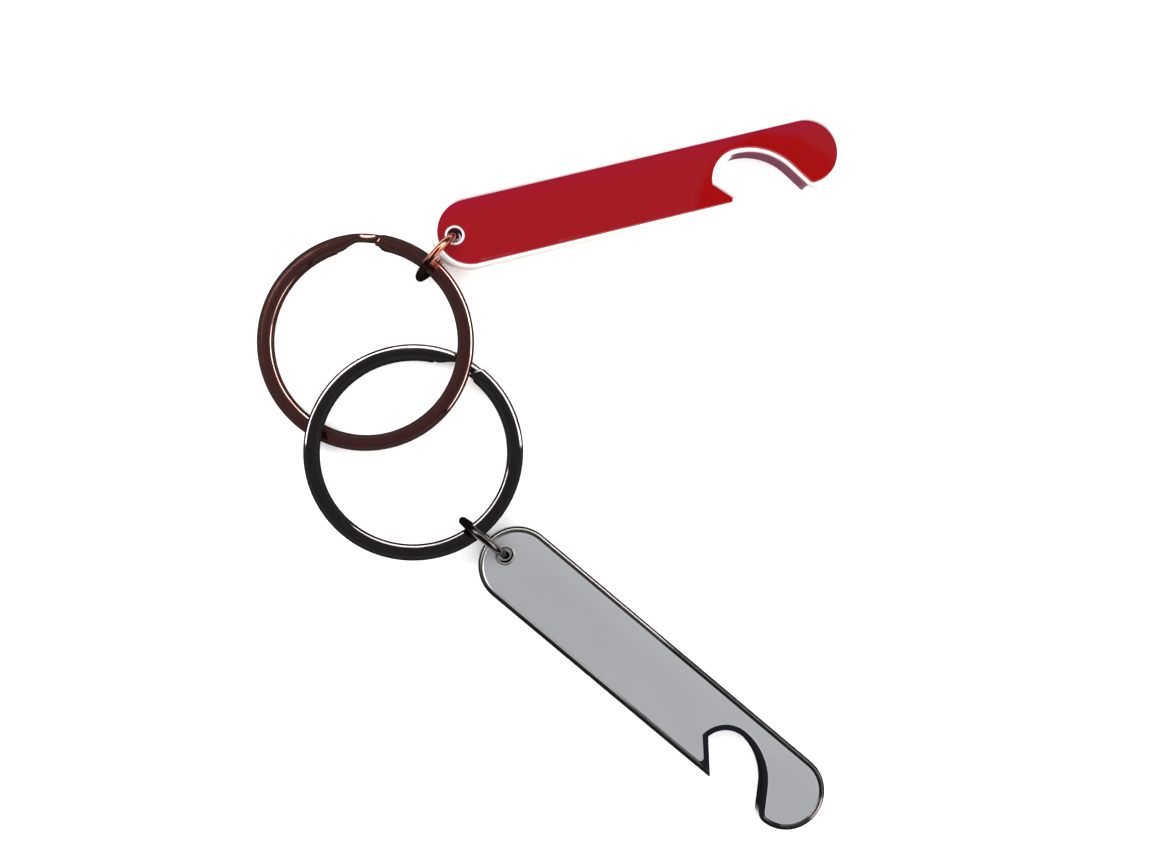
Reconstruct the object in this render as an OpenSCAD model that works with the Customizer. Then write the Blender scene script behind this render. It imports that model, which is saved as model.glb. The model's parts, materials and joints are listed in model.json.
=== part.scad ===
// Two enamelled cap-lifter bottle openers, each on a jump ring and a split key ring,
// with the two split rings linked through each other. Millimetres, +Z up, and the
// assembly lies on the plane z = 0 with the origin below the middle of its outline.

/* [Opener plate] */
// Length of each opener, ring end to head
opener_len = 59.4; // [57:0.2:64]
// Width across the handle
opener_w = 10.6; // [10:0.1:11]
// Thickness of the casting
opener_t = 3.0; // [2.6:0.1:3.1]
// Width of the raised metal rim round the enamel
rim_w = 0.8; // [0.5:0.05:1.1]
// Depth of the cast recess that holds the enamel
recess_d = 0.5; // [0.3:0.05:1]
// How far the enamel surface lies below the rim
enamel_drop = 0.15; // [0.05:0.01:0.25]

/* [Ring hole] */
// Distance from the ring end to the hole's centre
hole_x = 3.1; // [3:0.05:3.4]
// Diameter of the hole
hole_d = 2.0; // [1.9:0.05:2.2]
// Outer diameter of the raised collar round the hole
collar_d = 2.7; // [2.5:0.1:3.4]

/* [Cap notch] */
// Distance from the ring end to the point of the tooth
tooth_x = 44.5; // [43:0.1:45]
// Direction of the tooth's hooked wall, measured from the axis
tooth_angle = 133; // [128:1:138]
// Distance from the ring end to the crown of the notch
notch_x = 44.3; // [43.8:0.1:44.8]
// Height of the notch's crown above the plate's axis
notch_top = 1.85; // [1:0.05:2.2]
// Radius of the notch on the tooth side
notch_r = 3.7; // [3.5:0.1:3.9]
// Radius of the notch where it sweeps out to the nose
sweep_r = 8.0; // [7:0.1:8.5]
// Slope of the notch wall where it reaches the nose
sweep_angle = 57; // [52:1:60]
// Radius of the nose that bears on the cap
nose_r = 1.6; // [1.4:0.1:2]

/* [Split rings] */
// Outside diameter of each split ring
ring_d = 30; // [29:0.5:30]
// Width of the flattened wire, measured along the radius
ring_wire_w = 2.2; // [1.8:0.1:2.3]
// Thickness of one coil of the wire
ring_wire_t = 0.9; // [0.7:0.05:0.95]
// Gap between the two coils
ring_slit = 0.05; // [0.03:0.01:0.1]
// Arc in which the wire crosses from the lower coil to the upper one
cross_arc = 18; // [14:1:22]
// Width of the wire in the crossing, along the radius
cross_w = 1.4; // [1.2:0.1:1.8]

/* [Jump rings] */
// Outside diameter of each jump ring
jump_d = 8.6; // [8.4:0.05:8.7]
// Diameter of the jump ring's wire
jump_wire = 1.1; // [0.8:0.05:1.15]
// Width of the cut where the jump ring is closed
jump_cut = 0.12; // [0.05:0.01:0.3]

/* [Rest pose] */
// Distance from a split ring's centre to its jump ring's centre
jump_reach = 15.3; // [15.2:0.05:15.4]
// Distance from a jump ring's centre to the opener's hole
hole_reach = 3.6; // [3.5:0.05:3.65]
// Height of a jump ring's lowest point above the table
jump_lift = 0.05; // [0.02:0.01:0.1]
// Bearing of the copper jump ring round its split ring
copper_jump_bearing = 49.5; // [40:0.5:60]
// Heading of the copper jump ring, from its split ring out to the opener
copper_jump_heading = 49.5; // [42:0.5:57]
// Bearing of the black jump ring round its split ring
black_jump_bearing = -50.8; // [-60:0.1:-46]
// Heading of the black jump ring, from its split ring out to the opener
black_jump_heading = -38.7; // [-58:0.1:-38]
// Heading of the red opener, ring end to head
red_heading = 14.7; // [14:0.1:60]
// Heading of the grey opener, ring end to head
grey_heading = -40.1; // [-60:0.1:-30]
// Tilt of the copper split ring, propped on the black one
copper_tilt = 6.0; // [6:0.1:6.5]
// Tilt of the black split ring, propped on the copper one
black_tilt = 7.4; // [7.3:0.1:7.8]

/* [Hidden] */

$fn = 96;

// Split rings: centre on the table, the bearing that is highest, and the bearing of
// the crossing between the coils.
copper_centre = [-25.9, 17.4];
copper_uphill = 40;
copper_cross_bearing = 91;
black_centre = [-19.1, 2.35];
black_uphill = 240;
black_cross_bearing = 63;

half_w = opener_w / 2;
ring_h = 2 * ring_wire_t + ring_slit;
coil_z = (ring_wire_t + ring_slit) / 2;

// The crossing: its steps, the angle left open between it and each coil's cut end, how
// far its ends reach into the coils and its steps into each other, and how much slimmer
// than the wire its even and odd steps are.
cross_steps = 8;
cross_gap = 1;
cross_root = 1.2;
cross_overlap = 0.3;
cross_slim_even = 0.03;
cross_slim_odd = 0.05;

// Number of straight facets round each half-round side of the flattened wire.
side_steps = 6;

// Radius at the point of the casting's tooth, and at the same place in the recess.
tooth_tip_r = 0.12;
recess_tip_r = 0.45;

// How far cutters run past the face that they cut.
cut_past = 1;

jump_r = (jump_d - jump_wire) / 2;
jump_z = jump_d / 2 + jump_lift;
jump_cut_bearing = 205;

// The ring end is held up at the jump ring and the head's lower edge lies on the table.
opener_pitch = asin((jump_z - opener_t / 2) / (opener_len - hole_x));

function polar(radius, bearing) = radius * [cos(bearing), sin(bearing)];

function arc(centre, radius, from, to, steps) =
  [for (i = [0:steps]) centre + polar(radius, from + (to - from) * i / steps)];

// Where a ray from p along the unit vector u leaves the circle round c.
function leave_circle(p, u, c, radius) =
  let (q = p - c, b = q * u)
  p + u * (-b + sqrt(b * b - q * q + radius * radius));

// Outline of the opener, moved inwards by inset, with the tooth's point rounded to tip_r.
// It runs from the ring end along the lower edge, round the notch and back over the head.
function opener_outline(inset, tip_r) =
  let (
    edge = half_w - inset,
    wall = polar(1, tooth_angle),
    wall_foot = [tooth_x, -half_w] + inset * [-wall.y, wall.x],
    tip = wall_foot - wall * ((wall_foot.y + edge) / wall.y),
    tip_half = (180 - tooth_angle) / 2,
    tip_centre = tip + polar(tip_r / sin(tip_half), 180 - tip_half),
    notch_centre = [notch_x, notch_top - notch_r],
    corner = leave_circle(tip, wall, notch_centre, notch_r + inset),
    corner_bearing = 360 + atan2(corner.y - notch_centre.y, corner.x - notch_centre.x),
    sweep_centre = [notch_x, notch_top - sweep_r],
    head_centre = [opener_len - half_w, 0],
    nose_line = sweep_centre + polar(sweep_r + nose_r, 90 - sweep_angle),
    nose_centre = leave_circle(nose_line, polar(1, -sweep_angle), head_centre, half_w - nose_r),
    nose_bearing = atan2(nose_centre.y, nose_centre.x - head_centre.x)
  )
  concat(
    arc([half_w, 0], edge, 90, 270, 30),
    arc(tip_centre, tip_r, -90, tooth_angle - 90, 6),
    arc(notch_centre, notch_r + inset, corner_bearing % 360, 90, 18),
    arc(sweep_centre, sweep_r + inset, 85, 90 - sweep_angle, 12),
    arc(nose_centre, nose_r - inset, -90 - sweep_angle, nose_bearing, 14),
    arc(head_centre, edge, nose_bearing + 6, 90, 26)
  );

// Cast plate with the enamel recess, leaving the rim and the collar round the hole.
module opener_casting() {
  difference() {
    linear_extrude(opener_t)
      polygon(opener_outline(0, tooth_tip_r));
    difference() {
      translate([0, 0, opener_t - recess_d])
        linear_extrude(recess_d + cut_past)
          polygon(opener_outline(rim_w, recess_tip_r));
      translate([hole_x, 0, 0])
        cylinder(h = opener_t, d = collar_d);
    }
    translate([hole_x, 0, -cut_past])
      cylinder(h = opener_t + 2 * cut_past, d = hole_d);
  }
}

// Enamel that fills the recess up to a little below the rim.
module enamel_inlay() {
  translate([0, 0, opener_t - recess_d])
    difference() {
      linear_extrude(recess_d - enamel_drop)
        polygon(opener_outline(rim_w, recess_tip_r));
      translate([hole_x, 0, -cut_past])
        cylinder(h = recess_d + 2 * cut_past, d = collar_d);
    }
}

// Section of the flattened wire with its half-round sides, lying against the ring's
// outside diameter and moved inwards all round by inset.
module wire_section(width, inset = 0) {
  side_r = ring_wire_t / 2;
  outer_side = [ring_d / 2 - side_r, 0];
  inner_side = [ring_d / 2 - width + side_r, 0];
  polygon(concat(
    arc(outer_side, side_r - inset, -90, 90, side_steps),
    arc(inner_side, side_r - inset, 90, 270, side_steps)
  ));
}

module wire_arc(z, from, to)
  translate([0, 0, z])
    rotate([0, 0, from])
      rotate_extrude(angle = to - from)
        children();

// Two full coils of one wire, which climbs from the lower coil to the upper one in a
// short narrowed crossing at bearing zero. The crossing is made of overlapping steps,
// each a little slimmer or fuller than its neighbours, and its ends root in the coils.
module split_ring() {
  half_arc = cross_arc / 2;
  step_arc = cross_arc / cross_steps;
  last = cross_steps - 1;
  wire_arc(-coil_z, half_arc + cross_gap, 360 - half_arc)
    wire_section(ring_wire_w);
  wire_arc(coil_z, half_arc, 360 - half_arc - cross_gap)
    wire_section(ring_wire_w);
  for (i = [0:last])
    wire_arc(
      coil_z * (2 * i / last - 1),
      step_arc * i - half_arc - (i == 0 ? cross_root : cross_overlap),
      step_arc * (i + 1) - half_arc + (i == last ? cross_root : cross_overlap)
    )
      wire_section(cross_w, i % 2 == 0 ? cross_slim_even : cross_slim_odd);
}

// Round wire bent into a closed loop, standing on edge, with its butted cut.
module jump_ring() {
  cut_arc = jump_cut / jump_r * 180 / PI;
  rotate([90, 0, 0])
    rotate([0, 0, jump_cut_bearing + cut_arc / 2])
      rotate_extrude(angle = 360 - cut_arc)
        translate([jump_r, 0])
          circle(d = jump_wire);
}

// Places on the table.
module place_split_ring(centre, tilt, uphill, cross_bearing)
  translate([centre.x, centre.y, ring_d / 2 * sin(tilt) + ring_h / 2 * cos(tilt)])
    rotate([0, 0, uphill])
      rotate([0, -tilt, 0])
        rotate([0, 0, cross_bearing - uphill])
          children();

module place_jump_ring(centre, bearing, heading)
  translate(concat(centre + polar(jump_reach, bearing), jump_z))
    rotate([0, 0, heading])
      children();

module place_opener(centre, bearing, jump_heading, heading)
  translate(concat(centre + polar(jump_reach, bearing) + polar(hole_reach, jump_heading), jump_z))
    rotate([0, opener_pitch, heading])
      translate([-hole_x, 0, -opener_t / 2])
        children();

module place_red_opener()
  place_opener(copper_centre, copper_jump_bearing, copper_jump_heading, red_heading)
    children();

module place_grey_opener()
  place_opener(black_centre, black_jump_bearing, black_jump_heading, grey_heading)
    children();

module red_opener_casting()
  color("#D9A38C")
    place_red_opener()
      opener_casting();

module red_enamel_inlay()
  color("#A31C22")
    place_red_opener()
      enamel_inlay();

module copper_jump_ring()
  color("#7A3A26")
    place_jump_ring(copper_centre, copper_jump_bearing, copper_jump_heading)
      jump_ring();

module copper_split_ring()
  color("#4A2A24")
    place_split_ring(copper_centre, copper_tilt, copper_uphill, copper_cross_bearing)
      split_ring();

module grey_opener_casting()
  color("#2A2B2E")
    place_grey_opener()
      opener_casting();

module grey_enamel_inlay()
  color("#AAACB0")
    place_grey_opener()
      enamel_inlay();

module black_jump_ring()
  color("#1A1818")
    place_jump_ring(black_centre, black_jump_bearing, black_jump_heading)
      jump_ring();

module black_split_ring()
  color("#161414")
    place_split_ring(black_centre, black_tilt, black_uphill, black_cross_bearing)
      split_ring();

red_opener_casting();
red_enamel_inlay();
copper_jump_ring();
copper_split_ring();
grey_opener_casting();
grey_enamel_inlay();
black_jump_ring();
black_split_ring();
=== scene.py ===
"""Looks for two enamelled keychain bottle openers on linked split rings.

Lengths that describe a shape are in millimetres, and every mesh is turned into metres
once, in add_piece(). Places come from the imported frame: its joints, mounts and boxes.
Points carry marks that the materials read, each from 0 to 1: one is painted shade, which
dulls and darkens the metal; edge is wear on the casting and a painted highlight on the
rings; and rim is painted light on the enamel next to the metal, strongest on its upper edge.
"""
import json
import math

import bmesh
import bpy
from mathutils import Matrix, Vector
from mathutils.geometry import tessellate_polygon

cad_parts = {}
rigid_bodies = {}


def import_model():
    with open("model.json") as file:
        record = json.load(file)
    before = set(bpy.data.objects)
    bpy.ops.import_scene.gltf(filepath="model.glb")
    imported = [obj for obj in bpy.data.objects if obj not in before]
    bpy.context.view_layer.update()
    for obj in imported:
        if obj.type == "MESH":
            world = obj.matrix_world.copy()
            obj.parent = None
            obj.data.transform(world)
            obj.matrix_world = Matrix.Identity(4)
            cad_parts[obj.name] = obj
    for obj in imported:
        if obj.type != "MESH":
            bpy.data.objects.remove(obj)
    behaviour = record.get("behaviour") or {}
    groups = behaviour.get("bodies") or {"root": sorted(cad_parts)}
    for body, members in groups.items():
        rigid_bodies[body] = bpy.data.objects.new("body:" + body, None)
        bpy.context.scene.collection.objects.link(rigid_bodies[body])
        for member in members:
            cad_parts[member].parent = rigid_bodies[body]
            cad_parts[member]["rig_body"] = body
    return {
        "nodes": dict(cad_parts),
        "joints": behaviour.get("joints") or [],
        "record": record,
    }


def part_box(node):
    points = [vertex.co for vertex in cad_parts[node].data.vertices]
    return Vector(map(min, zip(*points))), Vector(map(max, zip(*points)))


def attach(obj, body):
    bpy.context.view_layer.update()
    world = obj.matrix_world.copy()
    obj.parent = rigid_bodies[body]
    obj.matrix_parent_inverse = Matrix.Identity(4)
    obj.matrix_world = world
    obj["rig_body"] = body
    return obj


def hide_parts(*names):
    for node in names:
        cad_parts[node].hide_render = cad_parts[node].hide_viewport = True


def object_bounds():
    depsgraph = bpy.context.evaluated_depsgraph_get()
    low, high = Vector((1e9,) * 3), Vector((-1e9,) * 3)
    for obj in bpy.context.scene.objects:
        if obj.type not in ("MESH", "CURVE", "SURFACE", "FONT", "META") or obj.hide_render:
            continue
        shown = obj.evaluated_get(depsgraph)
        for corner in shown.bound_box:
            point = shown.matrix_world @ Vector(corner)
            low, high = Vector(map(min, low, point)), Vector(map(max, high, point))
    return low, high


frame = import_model()
cad_low, cad_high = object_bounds()

MM = 0.001

# Opener plate, as in the CAD source
OPENER_LEN = 59.4
HALF_W = 5.3
PLATE_T = 3.0
RIM_W = 0.8
RECESS_D = 0.5
HOLE_X = 3.1
HOLE_R = 1.0
COLLAR_R = 1.35
TOOTH_X = 44.5
TOOTH_ANGLE = 133
NOTCH_X = 44.3
NOTCH_TOP = 1.85
NOTCH_R = 3.7
SWEEP_R = 8.0
SWEEP_ANGLE = 57
NOSE_R = 1.6
TIP_R_OUTSIDE = 0.12
TIP_R_INSIDE = 0.45

# Rounded edges of the casting, and how far past them its flat back begins
FOOT_ROUND = 0.3
TOP_ROUND = 0.24
INNER_ROUND = 0.14
CROWN = 0.055
HOLE_ROUND = 0.2
BACK_MARGIN = 0.06

# Painted shade on the rim outside the notch: how strong it is on the head and on the lower
# edge, where along the plate it starts and stops, and the part of the head left free of it
HEAD_SHADE = 0.46
HEAD_SHADE_FROM = 22
LOWER_EDGE_SHADE = 0.44
LOWER_EDGE_SHADE_TO = 48
UNSHADED_HEAD_BEARING = 10
UNSHADED_HEAD_HALF = 16

# Enamel surface: how far it lies below the rim, how high and how wide it climbs to the
# metal at the rim and at the collar, and how far it reaches into the metal
ENAMEL_DROP = 0.2
ENAMEL_CLIMB = 0.06
RIM_CLIMB_WIDTH = 0.5
COLLAR_CLIMB_WIDTH = 0.26
ENAMEL_BITE = 0.03

# Painted light on the enamel by the metal, and the oval round the notch that carries a
# painted sheen of brighter, more saturated red: its centre, and one over its half length
# and half width
RIM_LIGHT_REACH = 0.3
LEAST_RIM_LIGHT = 0.2
SHEEN_CENTRE = (NOTCH_X + 3.3, NOTCH_TOP - 10.85, PLATE_T)
SHEEN_SCALE = (0.0855, 0.0772, 0.0)

# Split rings
RING_R = 15.0
WIRE_W = 2.2
WIRE_T = 0.9
COIL_Z = 0.475
CROSS_W = 1.3
NARROW_START = -12
NARROW_END = 14.5
CUT_SLANT = 0.55
CUT_ROUND = 0.2
COIL_END = 8.7
END_TAPER_ARC = 9
CLIMB_START = -8.5
CLIMB_ARC = 13
WIRE_CROWN = 0.025
SIDE_R = 0.6
COPPER_CROSS_FROM_JUMP = 41.5
BLACK_CROSS_FROM_JUMP = 112.8
# Painted shade on the rounded cut ends of the split rings
CUT_SHADE = 0.6
# Painted highlight along the crown of the crossing's narrowed wire: its bearing from the crossing,
# half arc and half width
RIDGE_HIGHLIGHT_BEARING = -2.6
RIDGE_HIGHLIGHT_HALF = 4.0
RIDGE_HIGHLIGHT_HALF_W = 0.12

# What split_ring_shell() takes: where the shoulders carry painted highlights, with painted shade
# elsewhere, and the cut end's taper
COPPER_HIGHLIGHT_AND_TAPER = {"highlit": ((-86, 45), (89, 56)), "inner_highlight": 0.9, "end_taper": 0.5}
BLACK_HIGHLIGHT_AND_TAPER = {"highlit": ((28, 88), (-132, 62)), "inner_highlight": 0.67, "end_taper": 0.1}

# Jump rings
JUMP_R = 3.75
JUMP_WIRE_R = 0.55
JUMP_CUT_BEARING = 205
JUMP_CUT = 0.12
# Painted shade on the far end of each jump ring: its half arc and its fade, in degrees
JUMP_SHADE_HALF = 62
JUMP_SHADE_FADE = 40

# Camera: its aim from the middle of the object, its height, its tilts and its lens
CAMERA_AIM = (3.22, 4.82, -0.32)
CAMERA_HEIGHT = 180
CAMERA_TILT_X = -3.1
CAMERA_TILT_Y = -2.4
CAMERA_LENS = 39.93


# ---------------------------------------------------------------- plane geometry
def polar(radius, bearing):
    angle = math.radians(bearing)
    return Vector((radius * math.cos(angle), radius * math.sin(angle)))


def arc(centre, radius, start, end, steps):
    return [centre + polar(radius, start + (end - start) * i / steps) for i in range(steps + 1)]


def between(a, b, steps):
    """The points inside the straight stretch from a to b, without its two ends."""
    return [a.lerp(b, i / steps) for i in range(1, steps)]


def leave_circle(point, direction, centre, radius):
    """Where a ray from point along the unit vector direction leaves a circle."""
    offset = point - centre
    along = offset.dot(direction)
    return point + direction * (-along + math.sqrt(along**2 - offset.length_squared + radius**2))


def smooth_step(t):
    t = min(max(t, 0.0), 1.0)
    return t * t * (3 - 2 * t)


def ramp(value, start, length):
    """Goes smoothly from 0 at start to 1 at start + length. The length may be negative."""
    return smooth_step((value - start) / length)


def within(bearing, middle, half, fade=14):
    """1 where a bearing lies within half degrees of the middle, fading to 0 beyond it."""
    away = abs((bearing - middle + 180) % 360 - 180)
    return smooth_step((half - away) / fade + 0.5)


def opener_outline(inset):
    """The opener's outline moved inwards by inset, from the ring end along the lower edge."""
    tip_r = TIP_R_OUTSIDE + (TIP_R_INSIDE - TIP_R_OUTSIDE) * min(inset / RIM_W, 1)
    edge = HALF_W - inset
    wall = polar(1, TOOTH_ANGLE)
    foot = Vector((TOOTH_X, -HALF_W)) + inset * Vector((-wall.y, wall.x))
    tip = foot - wall * ((foot.y + edge) / wall.y)
    tip_half = (180 - TOOTH_ANGLE) / 2
    tip_centre = tip + polar(tip_r / math.sin(math.radians(tip_half)), 180 - tip_half)
    notch_centre = Vector((NOTCH_X, NOTCH_TOP - NOTCH_R))
    corner = leave_circle(tip, wall, notch_centre, NOTCH_R + inset) - notch_centre
    corner_bearing = math.degrees(math.atan2(corner.y, corner.x)) % 360
    sweep_centre = Vector((NOTCH_X, NOTCH_TOP - SWEEP_R))
    head_centre = Vector((OPENER_LEN - HALF_W, 0))
    nose_line = sweep_centre + polar(SWEEP_R + NOSE_R, 90 - SWEEP_ANGLE)
    nose_centre = leave_circle(nose_line, polar(1, -SWEEP_ANGLE), head_centre, HALF_W - NOSE_R)
    nose_from_head = nose_centre - head_centre
    nose_bearing = math.degrees(math.atan2(nose_from_head.y, nose_from_head.x))
    ring_end = arc(Vector((HALF_W, 0)), edge, 90, 270, 36)
    tooth = arc(tip_centre, tip_r, -90, TOOTH_ANGLE - 90, 8)
    notch = arc(notch_centre, NOTCH_R + inset, corner_bearing, 90, 26)
    sweep = arc(sweep_centre, SWEEP_R + inset, 88, 90 - SWEEP_ANGLE, 20)
    nose = arc(nose_centre, NOSE_R - inset, -90 - SWEEP_ANGLE, nose_bearing, 18)
    head = arc(head_centre, edge, nose_bearing + 4, 90, 36)
    return (
        ring_end + between(ring_end[-1], tooth[0], 16)
        + tooth + between(tooth[-1], notch[0], 5)
        + notch + sweep + between(sweep[-1], nose[0], 3)
        + nose + head + between(head[-1], ring_end[0], 20)
    )


def in_notch(point):
    """1 along the notch, from the tooth to the nose, and 0 elsewhere."""
    above_lower_edge = ramp(point.y, 0.3 - HALF_W, 0.8)
    below_upper_edge = ramp(point.y, HALF_W - 1.5, -1.0)
    before_head_end = ramp(point.x, OPENER_LEN - 2.4, -1.5)
    past_tooth = ramp(point.x, NOTCH_X - NOTCH_R - 1.5, 1.0)
    return above_lower_edge * below_upper_edge * before_head_end * past_tooth


def rim_painted_shade(point):
    """Painted shade on the rim's face: full along the notch, nearly half of it round the head and
    along the lower edge, and none at the end of the head, which is left bright.
    """
    from_head = point - Vector((OPENER_LEN - HALF_W, 0))
    bearing = math.degrees(math.atan2(from_head.y, from_head.x))
    shaded = 1 - within(bearing, UNSHADED_HEAD_BEARING, UNSHADED_HEAD_HALF)
    on_head = ramp(point.x, HEAD_SHADE_FROM, 8) * shaded
    on_lower_edge = ramp(point.y, 1.4 - HALF_W, -1.0) * ramp(point.x, LOWER_EDGE_SHADE_TO, -4)
    return max(in_notch(point), HEAD_SHADE * on_head, LOWER_EDGE_SHADE * on_lower_edge)


def under_sweep(point):
    """1 along the notch's long sweep, whose walls get the full painted shade."""
    return in_notch(point) * ramp(point.x, NOTCH_X - 1.6, 2.0)


# ---------------------------------------------------------------- meshes
class Shell:
    """Collects the rings of points and the faces of one closed mesh, in millimetres."""

    def __init__(self):
        self.points = []
        self.faces = []
        self.marks = {}

    def ring(self, points, grain=None, **marks):
        """Adds points, each with its place in the material's grain and the named marks."""
        first = len(self.points)
        self.points.extend(Vector(p) for p in points)
        numbers = list(range(first, len(self.points)))
        for name, value in {"grain": grain or points, **marks}.items():
            values = value if isinstance(value, list) else [value] * len(numbers)
            self.marks.setdefault(name, {}).update(zip(numbers, values))
        return numbers

    def bridge(self, ring_a, ring_b):
        count = len(ring_a)
        for i in range(count):
            j = (i + 1) % count
            self.faces.append((ring_a[i], ring_a[j], ring_b[j], ring_b[i]))

    def loft(self, rings):
        for ring_a, ring_b in zip(rings, rings[1:]):
            self.bridge(ring_a, ring_b)

    def fill(self, *loops):
        """A flat face with an outer loop and any number of holes."""
        numbers = [n for loop in loops for n in loop]
        flat = [[self.points[n].to_3d() for n in loop] for loop in loops]
        self.faces.extend(tuple(numbers[i] for i in tri) for tri in tessellate_polygon(flat))

    def tube(self, rings):
        """A loft through all the rings, closed by one face at each end."""
        self.loft(rings)
        self.faces.append(tuple(rings[0][::-1]))
        self.faces.append(tuple(rings[-1]))


def level(points, z):
    return [(p.x, p.y, z) for p in points]


def circle(centre, radius, z, steps=48):
    return level(arc(centre, radius, 0, 360, steps)[:-1], z)


def quarter(radius, steps, rising):
    """Steps of a quarter round: (distance from the outer wall, distance from the face)."""
    turns = [math.pi / 2 * i / steps for i in range(steps + 1)]
    pairs = [(radius * (1 - math.sin(a)), radius * (1 - math.cos(a))) for a in turns]
    return pairs if rising else pairs[::-1]


def casting_shell(wall_shade, rim_shade):
    """Cast plate: rounded foot, side wall, crowned rim, recess, collar and hole.

    The two arguments, each from 0 to 1, are how much painted shade the side walls carry away
    from the notch's sweep, where they carry it fully, and how much of its painted shade the
    rim's face shows.
    """
    shell = Shell()
    floor_z = PLATE_T - RECESS_D
    crown_z = PLATE_T - CROWN

    def outline_ring(inset, z, wall=0.0, rounded=0.0, face=0.0, edge=0.0):
        """wall, rounded and face are the ring's shares of each kind of painted shade."""
        points = opener_outline(inset)
        walls = [wall * (wall_shade + (1 - wall_shade) * under_sweep(p)) for p in points]
        rims = [rim_shade * max(rounded, face * rim_painted_shade(p)) for p in points]
        return shell.ring(level(points, z), side=list(map(max, walls, rims)), edge=edge)

    foot = [outline_ring(FOOT_ROUND + BACK_MARGIN, 0)]
    for inset, z in quarter(FOOT_ROUND, 5, rising=True):
        foot.append(outline_ring(inset, z, wall=smooth_step(1 - inset / FOOT_ROUND), edge=0.2))
    rim = [outline_ring(0.0, crown_z - TOP_ROUND - 0.1, wall=1.0)]
    for inset, drop in quarter(TOP_ROUND, 6, rising=False):
        steep = smooth_step((1 - inset / TOP_ROUND) / 0.3)
        rim.append(outline_ring(inset, crown_z - drop, steep, steep, 1.0, 1 - steep))
    flat = RIM_W - TOP_ROUND - INNER_ROUND
    for step in range(1, 8):
        across = step / 8
        z = PLATE_T - CROWN * (2 * across - 1) ** 2
        rim.append(outline_ring(TOP_ROUND + flat * across, z, face=1.0, edge=0.15))
    for rise, out in quarter(INNER_ROUND, 4, rising=True):
        steep = 0.6 * out / INNER_ROUND
        rim.append(outline_ring(RIM_W - rise, crown_z - out, steep, steep, 1.0, 0.3))
    rim.append(outline_ring(RIM_W, floor_z, 0.8, 0.8, 1.0))
    shell.loft(foot + rim)
    bore = bore_rings(shell, floor_z)
    shell.loft(bore)
    shell.fill(foot[0], bore[0])
    shell.fill(rim[-1], bore[-1])
    return shell


def bore_rings(shell, floor_z):
    """The hole from the back of the plate up, over the rounded collar to the recess."""
    centre = Vector((HOLE_X, 0))

    def bore_ring(radius, z, side=0.0, edge=0.0):
        return shell.ring(circle(centre, radius, z), side=side, edge=edge)

    bore = [bore_ring(HOLE_R + HOLE_ROUND + BACK_MARGIN, 0)]
    # The hole's rounding and the lower inside of the collar take painted shade
    bore += [bore_ring(HOLE_R + out, z, 1.0, 0.3) for out, z in quarter(HOLE_ROUND, 4, rising=True)]
    collar_half = (COLLAR_R - HOLE_R) / 2
    steps = 12
    for step in range(steps + 1):
        turn = math.pi * (1 - step / steps)
        radius = HOLE_R + collar_half * (1 + math.cos(turn))
        z = PLATE_T - collar_half * (1 - math.sin(turn))
        bore.append(bore_ring(radius, z, smooth_step((4 - step) / 3), 0.5))
    bore.append(bore_ring(COLLAR_R, floor_z, 0.5))
    return bore


def enamel_height(share):
    """Height of the cured surface, from the metal (share 0) to the level part (share 1)."""
    return PLATE_T - ENAMEL_DROP + ENAMEL_CLIMB * (1 - share) ** 4


def enamel_shell():
    """Enamel that fills the recess, with its edge drawn up along the rim and the collar."""
    shell = Shell()
    floor_z = PLATE_T - RECESS_D
    shares = [k / 8 for k in range(9)]
    outer = [shell.ring(level(opener_outline(RIM_W - ENAMEL_BITE), floor_z), rim=1.0)]
    for share in shares:
        away = share * RIM_CLIMB_WIDTH
        points = opener_outline(RIM_W - ENAMEL_BITE + away)
        # Painted light by the rim: it fades away from the metal and is strongest along the upper
        # edge
        fade = math.exp(-away / RIM_LIGHT_REACH)
        upper = [smooth_step(p.y - 2) for p in points]
        rim_light = [fade * (LEAST_RIM_LIGHT + (1 - LEAST_RIM_LIGHT) * up) for up in upper]
        outer.append(shell.ring(level(points, enamel_height(share)), rim=rim_light))
    centre = Vector((HOLE_X, 0))
    inner = [shell.ring(circle(centre, COLLAR_R - ENAMEL_BITE, floor_z), rim=LEAST_RIM_LIGHT)]
    for share in shares:
        away = share * COLLAR_CLIMB_WIDTH
        points = circle(centre, COLLAR_R - ENAMEL_BITE + away, enamel_height(share))
        inner.append(shell.ring(points, rim=LEAST_RIM_LIGHT * (1 - share)))
    shell.loft(outer)
    shell.loft(inner)
    shell.fill(outer[0], inner[0])
    shell.fill(outer[-1], inner[-1])
    return shell


def wire_section(width, inset=0.0):
    """Flattened round wire: (radial, axial) points, with rounded sides and crowned faces."""
    half_flat = width / 2 - SIDE_R
    crown = WIRE_CROWN * min(1, half_flat / (WIRE_W / 2 - SIDE_R))
    side_h = WIRE_T / 2 - WIRE_CROWN
    points = []
    for way in (1, -1):
        for turn in range(-90, 91, 15):
            unit = polar(1, turn) * way
            out = way * half_flat + (SIDE_R - inset) * unit.x
            points.append(Vector((out, (side_h - inset) * unit.y)))
        for across in (0.9, 0.5, 0.0, -0.5, -0.9):
            bulge = side_h - inset + crown * (1 - across**2)
            points.append(Vector((half_flat * across, bulge)) * way)
    return points


def side_share(point, width):
    """0 on the wire's face, rising to 1 on the steep part of its sides."""
    return ramp((abs(point.x) - width / 2) / SIDE_R, -0.42, 0.28)


def shoulder_share(point, width):
    """1 on the rounded shoulders between the wire's face and its sides."""
    out = (abs(point.x) - width / 2) / SIDE_R
    return ramp(out, -1.06, 0.12) * (1 - ramp(out, -0.35, 0.25))


def ring_width(turn):
    """The wire narrows on its inner side where it crosses from coil to coil."""
    share = ramp(turn, NARROW_START, 6) * ramp(turn, NARROW_END, -12)
    return WIRE_W + (CROSS_W - WIRE_W) * share


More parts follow.
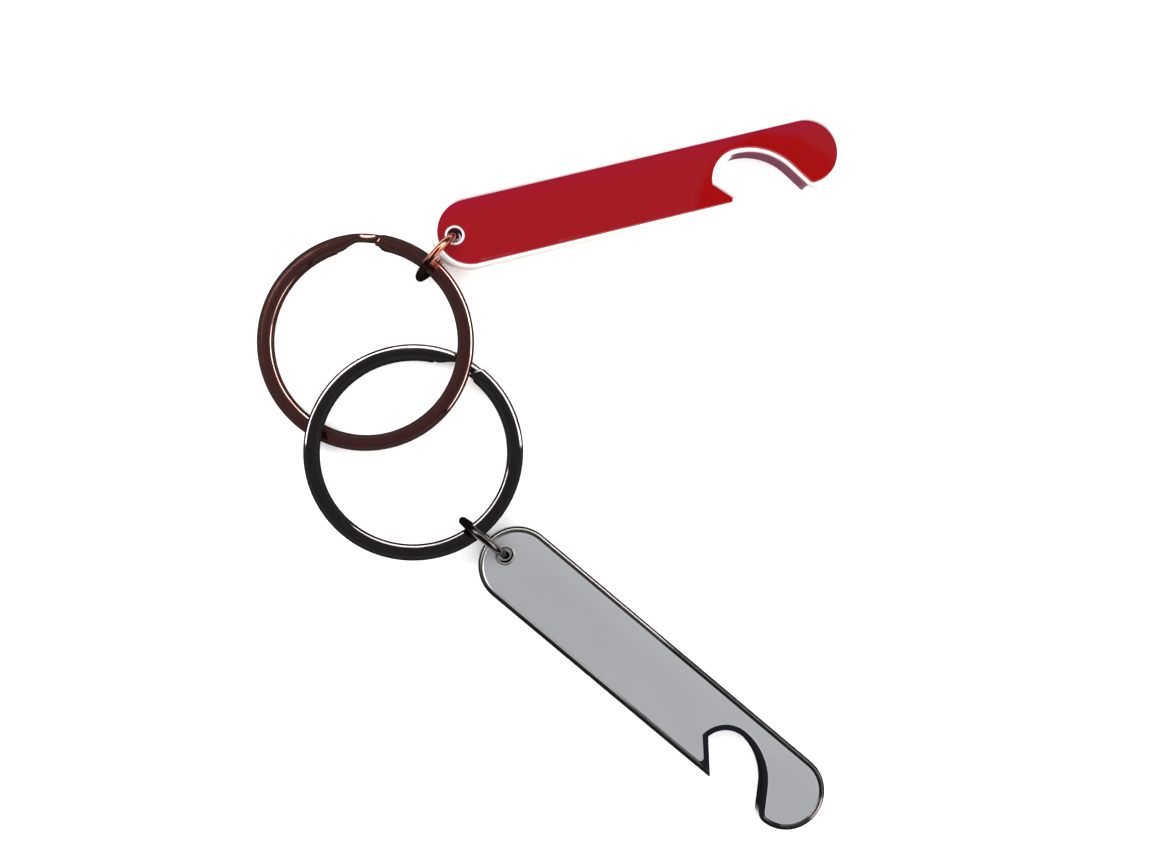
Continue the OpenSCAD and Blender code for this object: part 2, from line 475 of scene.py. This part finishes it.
def wire_stations(start, stop, steps, end_round):
    """(bearing, inset) of each section of a wire, with those that round its two ends."""
    opening = [(start + on, inset) for on, inset in end_round]
    middle = [(start + (stop - start) * k / steps, 0.0) for k in range(1, steps)]
    closing = [(stop - on, inset) for on, inset in reversed(end_round)]
    return opening + middle + closing


def split_ring_marks(section, width, outer, inner, ridge_highlight, least):
    """How much painted shade and painted highlight each point of a section carries.

    outer and inner are how far its two shoulders carry a painted highlight, the ridge share
    how far its crown carries one, and least is the least painted shade. Steep sides and
    unhighlit shoulders take painted shade.
    """
    side = []
    edge = []
    for p in section:
        shoulder = shoulder_share(p, width)
        highlit = outer if p.x > 0 else inner
        on_ridge_highlight = ridge_highlight * smooth_step(1.4 - abs(p.x) / RIDGE_HIGHLIGHT_HALF_W)
        edge.append(max(shoulder * highlit, on_ridge_highlight))
        shaded = 1 - max(highlit, ridge_highlight if p.x > -0.1 else 0)
        side.append(max(side_share(p, width), shoulder * shaded, least))
    return side, edge


def split_ring_shell(highlit, inner_highlight, end_taper):
    """One flattened wire in two full coils, with the climb between them at bearing zero.

    The first argument holds the middle and the half width, in degrees from the crossing, of
    the arcs in which the outer and the inner shoulder carry a painted highlight, with painted
    shade elsewhere; the second is how strong the inner one is, from 0 to 1. The upper coil's
    cut end is narrower than the wire by end_taper.
    """
    shell = Shell()
    start = NARROW_END
    stop = 720 - COIL_END
    degree = math.degrees(1 / RING_R)
    end_round = [(out * degree, inset) for out, inset in quarter(CUT_ROUND, 5, rising=False)]
    rings = []
    for angle, inset in wire_stations(start, stop, 400, end_round):
        before_crossing = angle - 360
        tapered = 1 - ramp(angle, stop, -END_TAPER_ARC)
        width = ring_width(before_crossing) - end_taper * tapered
        climb = ramp(before_crossing, CLIMB_START, CLIMB_ARC)
        near_end = min(angle - start, stop - angle)
        slant = -CUT_SLANT * (1 - smooth_step(near_end / 4))
        section = wire_section(width, inset)
        points = []
        for p in section:
            bearing = angle + slant * p.x * degree
            flat = polar(RING_R - width / 2 + p.x, bearing)
            points.append((flat.x, flat.y, COIL_Z * (2 * climb - 1) + p.y))
        outer, inner = (within(angle, middle, half) for middle, half in highlit)
        ridge_highlight = within(before_crossing, RIDGE_HIGHLIGHT_BEARING, RIDGE_HIGHLIGHT_HALF, 4)
        least = CUT_SHADE if inset == CUT_ROUND else 0.0
        side, edge = split_ring_marks(section, width, outer, inner * inner_highlight, ridge_highlight, least)
        grain = [Vector((math.radians(angle) * RING_R, p.x, p.y)) for p in section]
        rings.append(shell.ring(points, grain=grain, side=side, edge=edge))
    shell.tube(rings)
    return shell


def jump_ring_shell():
    """Round wire bent to a loop that stands in the local XZ plane, butted at its cut."""
    shell = Shell()
    half_cut = math.degrees(JUMP_CUT / 2 / JUMP_R)
    start = JUMP_CUT_BEARING + half_cut
    stop = start + 360 - 2 * half_cut
    degree = math.degrees(1 / JUMP_R)
    end_round = [(on * degree, inset) for on, inset in ((0.0, 0.12), (0.03, 0.05), (0.09, 0.01))]
    rings = []
    for angle, inset in wire_stations(start, stop, 110, end_round):
        section = arc(Vector((0, 0)), JUMP_WIRE_R - inset, 0, 360, 24)[:-1]
        ring_points = [(polar(JUMP_R + p.x, angle), p.y) for p in section]
        # The loop's far end, away from the opener's hole, takes painted shade
        rings.append(shell.ring(
            [(flat.x, out, flat.y) for flat, out in ring_points],
            grain=[Vector((math.radians(angle) * JUMP_R, p.x, p.y)) for p in section],
            side=within(angle, 180, JUMP_SHADE_HALF, JUMP_SHADE_FADE),
            edge=0.0,
        ))
    shell.tube(rings)
    return shell


def add_piece(name, shell, place, material, node):
    """Turns a shell into a Blender piece in metres that stands for one CAD node."""
    mesh = bpy.data.meshes.new(name)
    mesh.from_pydata([place @ (p * MM) for p in shell.points], [], shell.faces)
    for mark, column in shell.marks.items():
        values = [column[n] for n in range(len(shell.points))]
        if mark == "grain":
            layer = mesh.attributes.new(mark, "FLOAT_VECTOR", "POINT")
            layer.data.foreach_set("vector", [x for v in values for x in v])
        else:
            layer = mesh.attributes.new(mark, "FLOAT", "POINT")
            layer.data.foreach_set("value", values)
    work = bmesh.new()
    work.from_mesh(mesh)
    bmesh.ops.recalc_face_normals(work, faces=work.faces)
    work.to_mesh(mesh)
    work.free()
    mesh.shade_smooth()
    mesh.materials.append(material)
    piece = bpy.data.objects.new(name, mesh)
    bpy.context.scene.collection.objects.link(piece)
    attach(piece, frame["nodes"][node]["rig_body"])
    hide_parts(node)


# ---------------------------------------------------------------- places from the frame
def frame_matrix(origin, x_axis, z_axis):
    """A placing matrix from an origin, a local X direction and a local Z direction."""
    z = z_axis.normalized()
    y = z.cross(x_axis).normalized()
    x = y.cross(z)
    place = Matrix((x, y, z)).transposed().to_4x4()
    place.translation = origin
    return place


def joint(name):
    found = next(j for j in frame["joints"] if j["name"] == name)
    return Vector(found["pos_m"]), Vector(found["axis"]).normalized()


def mount(name):
    found = next(m for m in frame["record"]["mounts"] if m["name"] == name)
    return Vector(found["pos_m"]), Vector(found["axis"]).normalized()


def opener_place(swing_joint, notch_mount):
    """The plate's frame: X from the ring end to the head, Z out of the enamelled face."""
    hole, normal = joint(swing_joint)
    _, out_of_notch = mount(notch_mount)
    x_axis = normal.cross(out_of_notch).normalized() * -1
    if (mount(notch_mount)[0] - hole).dot(x_axis) < 0:
        x_axis.negate()
    origin = hole - x_axis * HOLE_X * MM - normal * PLATE_T / 2 * MM
    return frame_matrix(origin, x_axis, normal)


def split_ring_place(lift_joint, ring_mount, crossing_from_jump):
    """The ring's frame: Z along its axis, X towards the crossing of its wire."""
    wire, tangent = joint(lift_joint)
    _, normal = mount(ring_mount)
    radial = normal.cross(tangent).normalized()
    centre = wire - radial * (RING_R - WIRE_W / 2) * MM
    x_axis = Matrix.Rotation(math.radians(crossing_from_jump), 3, normal) @ radial
    return frame_matrix(centre, x_axis, normal)


def jump_ring_place(node, swing_joint):
    """The loop's frame: Z up, X from the split ring towards the opener's hole."""
    low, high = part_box(node)
    centre = (low + high) / 2
    hole, _ = joint(swing_joint)
    outwards = hole - centre
    outwards.z = 0
    return frame_matrix(centre, outwards, Vector((0, 0, 1)))


# ---------------------------------------------------------------- materials
class Graph:
    """Short calls for building one material's nodes. Coordinates are in millimetres."""

    def __init__(self, name):
        self.material = bpy.data.materials.new(name)
        self.material.use_nodes = True
        self.tree = self.material.node_tree
        self.shader = self.tree.nodes["Principled BSDF"]

    def node(self, kind, **settings):
        made = self.tree.nodes.new("ShaderNode" + kind)
        for name, value in settings.items():
            setattr(made, name, value)
        return made

    def feed(self, socket, value):
        if isinstance(value, bpy.types.NodeSocket):
            self.tree.links.new(value, socket)
        else:
            socket.default_value = value

    def grain(self):
        """Where a point lies in its piece: along the plate or wire, across it and up."""
        return self.mark("grain", "Vector")

    def mark(self, name, kind="Fac"):
        return self.node("Attribute", attribute_name=name).outputs[kind]

    def stretch(self, vector, scale):
        made = self.node("VectorMath", operation="MULTIPLY")
        self.feed(made.inputs[0], vector)
        made.inputs[1].default_value = scale
        return made.outputs[0]

    def noise(self, vector, scale, detail=3.0, roughness=0.5, distortion=0.0):
        made = self.node("TexNoise")
        self.feed(made.inputs["Vector"], vector)
        made.inputs["Scale"].default_value = scale
        made.inputs["Detail"].default_value = detail
        made.inputs["Roughness"].default_value = roughness
        made.inputs["Distortion"].default_value = distortion
        return made.outputs["Fac"]

    def specks(self, vector, scale, size):
        """1 inside small scattered dots, 0 elsewhere."""
        made = self.node("TexVoronoi")
        self.feed(made.inputs["Vector"], vector)
        made.inputs["Scale"].default_value = scale
        return self.span(made.outputs["Distance"], size, size * 0.4, 0, 1)

    def span(self, value, low, high, to_low, to_high):
        made = self.node("MapRange", interpolation_type="SMOOTHSTEP")
        for socket, number in zip(made.inputs, (value, low, high, to_low, to_high)):
            self.feed(socket, number)
        return made.outputs["Result"]

    def math(self, operation, a, b):
        made = self.node("Math", operation=operation, use_clamp=False)
        self.feed(made.inputs[0], a)
        self.feed(made.inputs[1], b)
        return made.outputs[0]

    def mix(self, share, a, b):
        made = self.node("Mix", data_type="RGBA")
        self.feed(made.inputs["Factor"], share)
        for socket, value in ((made.inputs[6], a), (made.inputs[7], b)):
            self.feed(socket, value if isinstance(value, bpy.types.NodeSocket) else (*value, 1))
        return made.outputs[2]

    def bump(self, height, depth_mm, strength=1.0, under=None):
        made = self.node("Bump")
        made.inputs["Strength"].default_value = strength
        made.inputs["Distance"].default_value = depth_mm * MM
        self.feed(made.inputs["Height"], height)
        if under is not None:
            self.feed(made.inputs["Normal"], under)
        return made.outputs["Normal"]

    def finish(self, **sockets):
        for name, value in sockets.items():
            socket = self.shader.inputs[name.replace("_", " ")]
            if isinstance(value, tuple):
                value = (*value, 1)
            self.feed(socket, value)
        return self.material


def scaled(colour, factor):
    return tuple(min(c * factor, 1.0) for c in colour)


def metal_finish(g, colour, side, shade_share, metallic, **sockets):
    """Metal that turns into a matt coat of a painted shade colour as its shade share rises to 1."""
    return g.finish(
        Base_Color=g.mix(g.span(shade_share, 0.2, 0.5, 0, 1), colour, side),
        Metallic=g.span(shade_share, 0.4, 0.7, metallic, 0.0),
        Specular_IOR_Level=g.span(shade_share, 0, 0.8, 0.5, 0),
        **sockets,
    )


def plate_metal(name, bright, wear_and_highlight, side, roughness, spread, metallic=1.0):
    """Polished plating on the casting: buffing streaks, smudges, worn edges, and painted shade that
    dulls and darkens its sides.
    """
    g = Graph(name)
    grain = g.grain()
    streaks = g.noise(g.stretch(grain, (0.35, 5.0, 5.0)), 2.4, 4, 0.65)
    clouds = g.noise(grain, 0.42, 3, 0.55)
    pits = g.noise(grain, 9.0, 3, 0.6)
    colour = g.mix(g.span(clouds, 0.3, 0.7, 0, 0.4), bright, scaled(bright, 0.84))
    worn_share = g.math("MULTIPLY", g.mark("edge"), g.span(clouds, 0.4, 0.62, 0.0, 0.7))
    colour = g.mix(worn_share, colour, wear_and_highlight)
    shade_share = g.math("MULTIPLY", g.mark("side"), g.span(pits, 0.3, 0.7, 0.88, 1.0))
    rough = g.span(streaks, 0.25, 0.75, roughness - spread, roughness + spread)
    rough = g.math("ADD", rough, g.span(pits, 0.4, 0.75, 0.0, 0.05))
    rough = g.math("ADD", rough, g.math("MULTIPLY", shade_share, 0.2))
    cast = g.bump(clouds, 0.004, 0.5)
    fine = g.bump(streaks, 0.0014, 0.5, cast)
    return metal_finish(g, colour, side, shade_share, metallic,
                        Roughness=rough, Normal=g.bump(pits, 0.0006, 0.5, fine))


def notch_sheen_share(g, grain):
    """1 beside the notch, where the painted sheen lies, falling to 0 some millimetres away from it.
    """
    from_notch = g.node("VectorMath", operation="SUBTRACT")
    g.feed(from_notch.inputs[0], grain)
    from_notch.inputs[1].default_value = SHEEN_CENTRE
    length = g.node("VectorMath", operation="LENGTH")
    g.feed(length.inputs[0], g.stretch(from_notch.outputs[0], SHEEN_SCALE))
    ragged = g.math("ADD", length.outputs["Value"], g.span(g.noise(grain, 0.3), 0, 1, -0.03, 0.03))
    return g.span(ragged, 1.06, 0.94, 0, 1.0)


def enamel(name, body, rim, roughness, sheen=None):
    """Cured soft enamel: cloudy pigment, painted light by the metal, dust and faint ripples."""
    g = Graph(name)
    grain = g.grain()
    clouds = g.noise(grain, 0.16, 4, 0.55, 0.4)
    pigment = g.noise(grain, 22.0, 2, 0.7)
    ripples = g.noise(grain, 0.5, 2, 0.4)
    scuffs = g.noise(grain, 2.6, 5, 0.75)
    colour = g.mix(g.span(clouds, 0.35, 0.68, 0, 0.5), body, scaled(body, 0.93))
    colour = g.mix(g.span(pigment, 0.35, 0.75, 0, 0.5), colour, scaled(body, 1.05))
    # Painted light next to the rim: purplish on the red enamel, a lighter painted reflection on the
    # grey
    colour = g.mix(g.math("MULTIPLY", g.mark("rim"), 0.75), colour, rim)
    # A painted sheen: a brighter, more saturated patch of red beside the notch
    if sheen is not None:
        colour = g.mix(notch_sheen_share(g, grain), colour, sheen)
    dust = g.specks(grain, 0.9, 0.06)
    colour = g.mix(g.math("MULTIPLY", dust, 0.1), colour, tuple(min(c + 0.1, 1) for c in body))
    rough = g.span(scuffs, 0.4, 0.8, roughness, roughness + 0.06)
    rough = g.math("ADD", rough, g.math("MULTIPLY", dust, 0.15))
    wave = g.bump(ripples, 0.012, 0.3)
    return g.finish(
        Base_Color=colour, Roughness=rough, Normal=g.bump(dust, 0.004, 0.5, wave),
        IOR=1.46, Coat_Weight=0.2, Coat_Roughness=0.08,
    )


def wire_metal(name, colour, tarnish, wear_and_highlight, side, roughness, spread):
    """Plated drawn wire: draw lines along it, cloudy tarnish, painted highlights on some shoulders,
    and painted shade on its sides and other shoulders.
    """
    g = Graph(name)
    grain = g.grain()
    lines = g.noise(g.stretch(grain, (0.1, 5.0, 5.0)), 1.8, 4, 0.7)
    clouds = g.noise(g.stretch(grain, (0.4, 0.8, 0.8)), 0.9, 4, 0.6, 0.5)
    pits = g.noise(grain, 11.0, 2, 0.6)
    base = g.mix(g.span(clouds, 0.35, 0.7, 0, 0.8), colour, tarnish)
    base = g.mix(g.span(pits, 0.45, 0.8, 0, 0.3), base, tarnish)
    # Painted highlight: the lighter colour on the highlit shoulders and crown
    highlit = g.math("MULTIPLY", g.mark("edge"), g.span(clouds, 0.36, 0.6, 0.1, 0.75))
    base = g.mix(highlit, base, wear_and_highlight)
    shade_share = g.math("MULTIPLY", g.mark("side"), g.span(pits, 0.3, 0.7, 0.85, 1.0))
    rough = g.span(lines, 0.25, 0.75, roughness - spread, roughness + spread)
    rough = g.math("ADD", rough, g.span(clouds, 0.45, 0.75, 0.0, 0.06))
    wave = g.bump(clouds, 0.006, 0.4)
    fine = g.bump(lines, 0.0014, 0.6, wave)
    return metal_finish(g, base, side, shade_share, 1.0,
                        Roughness=rough, Normal=g.bump(pits, 0.0008, 0.5, fine))


def floor_material():
    g = Graph("table_top")
    tone = g.noise(g.node("TexCoord").outputs["Object"], 30.0, 3, 0.5)
    colour = g.mix(tone, (0.93, 0.93, 0.93), (0.91, 0.91, 0.91))
    return g.finish(Base_Color=colour, Roughness=0.7, Specular_IOR_Level=0.2)


# ---------------------------------------------------------------- the pieces
def build_openers():
    # The plating's third colour is painted shade for walls, hole and shaded rim: purple-brown on
    # the rose gold, near black on the gunmetal
    rose = plate_metal("rose_gold_plating", (0.98, 0.89, 0.87), (1.0, 0.94, 0.92),
                       (0.15, 0.05, 0.075), 0.42, 0.05, metallic=0.8)
    gunmetal = plate_metal("gunmetal_plating", (0.36, 0.335, 0.325), (0.55, 0.53, 0.52),
                           (0.006, 0.006, 0.008), 0.26, 0.05)
    # The red enamel carries purplish painted light by the rim and a painted sheen by the notch; the
    # grey is lighter by the rim
    red = enamel("red_enamel_finish", (0.172, 0.0037, 0.0056), (0.16, 0.0005, 0.03), 0.1,
                 sheen=(0.178, 0.0002, 0.0004))
    grey = enamel("grey_enamel_finish", (0.184, 0.188, 0.196), (0.245, 0.25, 0.255), 0.1)
    # Each row: colour, plating, plate slot, enamel, painted shade of the walls, painted shade of
    # the rim's face
    rows = (
        ("red", rose, "copper_plate", red, 0.13, 0.0),
        ("grey", gunmetal, "gunmetal_plate", grey, 0.1, 1.0),
    )
    for colour, plating, plate_slot, fill, wall_shade, rim_shade in rows:
        place = opener_place(f"{colour}_opener_swing", f"{colour}_cap_notch")
        add_piece(f"{colour}_plate", casting_shell(wall_shade, rim_shade), place, plating,
                  f"{colour}_opener_casting")
        add_piece(f"{colour}_enamel_fill", enamel_shell(), place, fill,
                  f"{colour}_enamel_inlay")


def build_rings():
    # Each wire: its colour, its tarnish, the painted highlight colour of highlit shoulders, the
    # painted shade colour of its sides
    copper_ring = wire_metal("antique_copper", (0.9, 0.33, 0.3), (0.54, 0.235, 0.23),
                             (0.9, 0.62, 0.54), (0.024, 0.0125, 0.012), 0.13, 0.03)
    black_ring = wire_metal("black_nickel", (0.36, 0.31, 0.315), (0.22, 0.19, 0.195),
                            (0.5, 0.47, 0.46), (0.0105, 0.0095, 0.0095), 0.08, 0.025)
    copper_link = wire_metal("bright_copper", (0.5, 0.2, 0.13), (0.16, 0.055, 0.04),
                             (0.9, 0.6, 0.5), (0.008, 0.0045, 0.0035), 0.15, 0.04)
    black_link = wire_metal("black_nickel_link", (0.1, 0.09, 0.085), (0.03, 0.027, 0.025),
                            (0.3, 0.28, 0.27), (0.003, 0.0028, 0.0025), 0.14, 0.04)
    rows = (
        ("copper", "red", copper_ring, "dark_copper_wire", copper_link, "copper_wire",
         COPPER_CROSS_FROM_JUMP, COPPER_HIGHLIGHT_AND_TAPER),
        ("black", "grey", black_ring, "black_ring_wire", black_link, "black_wire",
         BLACK_CROSS_FROM_JUMP, BLACK_HIGHLIGHT_AND_TAPER),
    )
    for metal, opener, ring_look, ring_slot, link_look, link_slot, crossing, highlight_and_taper in rows:
        place = split_ring_place(f"{metal}_jump_ring_lift", f"{metal}_key_ring", crossing)
        add_piece(f"{metal}_key_ring", split_ring_shell(**highlight_and_taper), place, ring_look,
                  f"{metal}_split_ring")
        place = jump_ring_place(f"{metal}_jump_ring", f"{opener}_opener_swing")
        add_piece(f"{metal}_link", jump_ring_shell(), place, link_look,
                  f"{metal}_jump_ring")


# ---------------------------------------------------------------- studio
def build_stage():
    """A pale table top that reaches to a pale wall far away on every side."""
    floor_r = 3.0
    wall_h = 2.0
    steps = 96
    rings = [[(r * math.cos(2 * math.pi * i / steps), r * math.sin(2 * math.pi * i / steps), z)
              for i in range(steps)] for r, z in ((floor_r, 0.0), (floor_r, wall_h))]
    material = floor_material()
    floor_mesh = bpy.data.meshes.new("floor")
    floor_mesh.from_pydata(rings[0], [], [tuple(range(steps))])
    wall_mesh = bpy.data.meshes.new("backdrop")
    faces = [(i, (i + 1) % steps, (i + 1) % steps + steps, i + steps) for i in range(steps)]
    wall_mesh.from_pydata(rings[0] + rings[1], [], faces)
    for name, mesh in (("floor", floor_mesh), ("backdrop", wall_mesh)):
        mesh.materials.append(material)
        obj = bpy.data.objects.new(name, mesh)
        bpy.context.scene.collection.objects.link(obj)
        if name == "backdrop":
            obj.visible_glossy = False
            obj.visible_diffuse = False
            obj.visible_shadow = False


def add_softbox(name, bearing, elevation, spread, irradiance, glossy=True):
    """A far round softbox: a sun lamp with a wide disc. A fill leaves no reflection."""
    lamp = bpy.data.lights.new(name, "SUN")
    lamp.energy = irradiance
    lamp.angle = math.radians(spread)
    obj = bpy.data.objects.new(name, lamp)
    flat = polar(math.cos(math.radians(elevation)), bearing)
    towards = Vector((flat.x, flat.y, math.sin(math.radians(elevation))))
    obj.rotation_euler = towards.to_track_quat("Z", "Y").to_euler()
    obj.visible_glossy = glossy
    bpy.context.scene.collection.objects.link(obj)


def build_lights():
    world = bpy.data.worlds.new("studio")
    world.use_nodes = True
    world.node_tree.nodes["Background"].inputs["Color"].default_value = (1, 1, 1, 1)
    world.node_tree.nodes["Background"].inputs["Strength"].default_value = 0.05
    bpy.context.scene.world = world
    for bearing, irradiance in ((158, 0.85), (120, 0.85), (82, 0.85), (44, 0.65)):
        add_softbox(f"softbox_{bearing}", bearing, 46, 28, irradiance)
    rows = (
        # name, bearing, elevation, spread, irradiance, leaves a reflection
        ("softbox_right", 6, 38, 34, 1.5, True),
        ("softbox_lower_right", -34, 38, 26, 0.5, True),
        ("fill_left", 190, 50, 60, 0.9, False),
        ("fill_front", -90, 50, 60, 1.3, False),
        ("fill_overhead", 0, 88, 70, 1.7, False),
    )
    for row in rows:
        add_softbox(*row)


def build_camera():
    """Looks almost straight down on the table."""
    middle = (cad_low + cad_high) / 2
    target = middle + Vector(CAMERA_AIM) * MM
    height = CAMERA_HEIGHT * MM
    tilt_x = math.radians(CAMERA_TILT_X)
    tilt_y = math.radians(CAMERA_TILT_Y)
    z_axis = Vector((math.tan(tilt_x), math.tan(tilt_y), 1)).normalized()
    location = target + z_axis * (height - target.z) / z_axis.z
    data = bpy.data.cameras.new("camera")
    data.sensor_width = 36
    data.lens = CAMERA_LENS
    data.clip_start = 0.01
    data.clip_end = 20
    camera = bpy.data.objects.new("camera", data)
    camera.matrix_world = frame_matrix(location, Vector((0, 1, 0)).cross(z_axis), z_axis)
    bpy.context.scene.collection.objects.link(camera)
    bpy.context.scene.camera = camera


bpy.context.scene.view_settings.view_transform = "Standard"
build_openers()
build_rings()
build_stage()
build_lights()
build_camera()
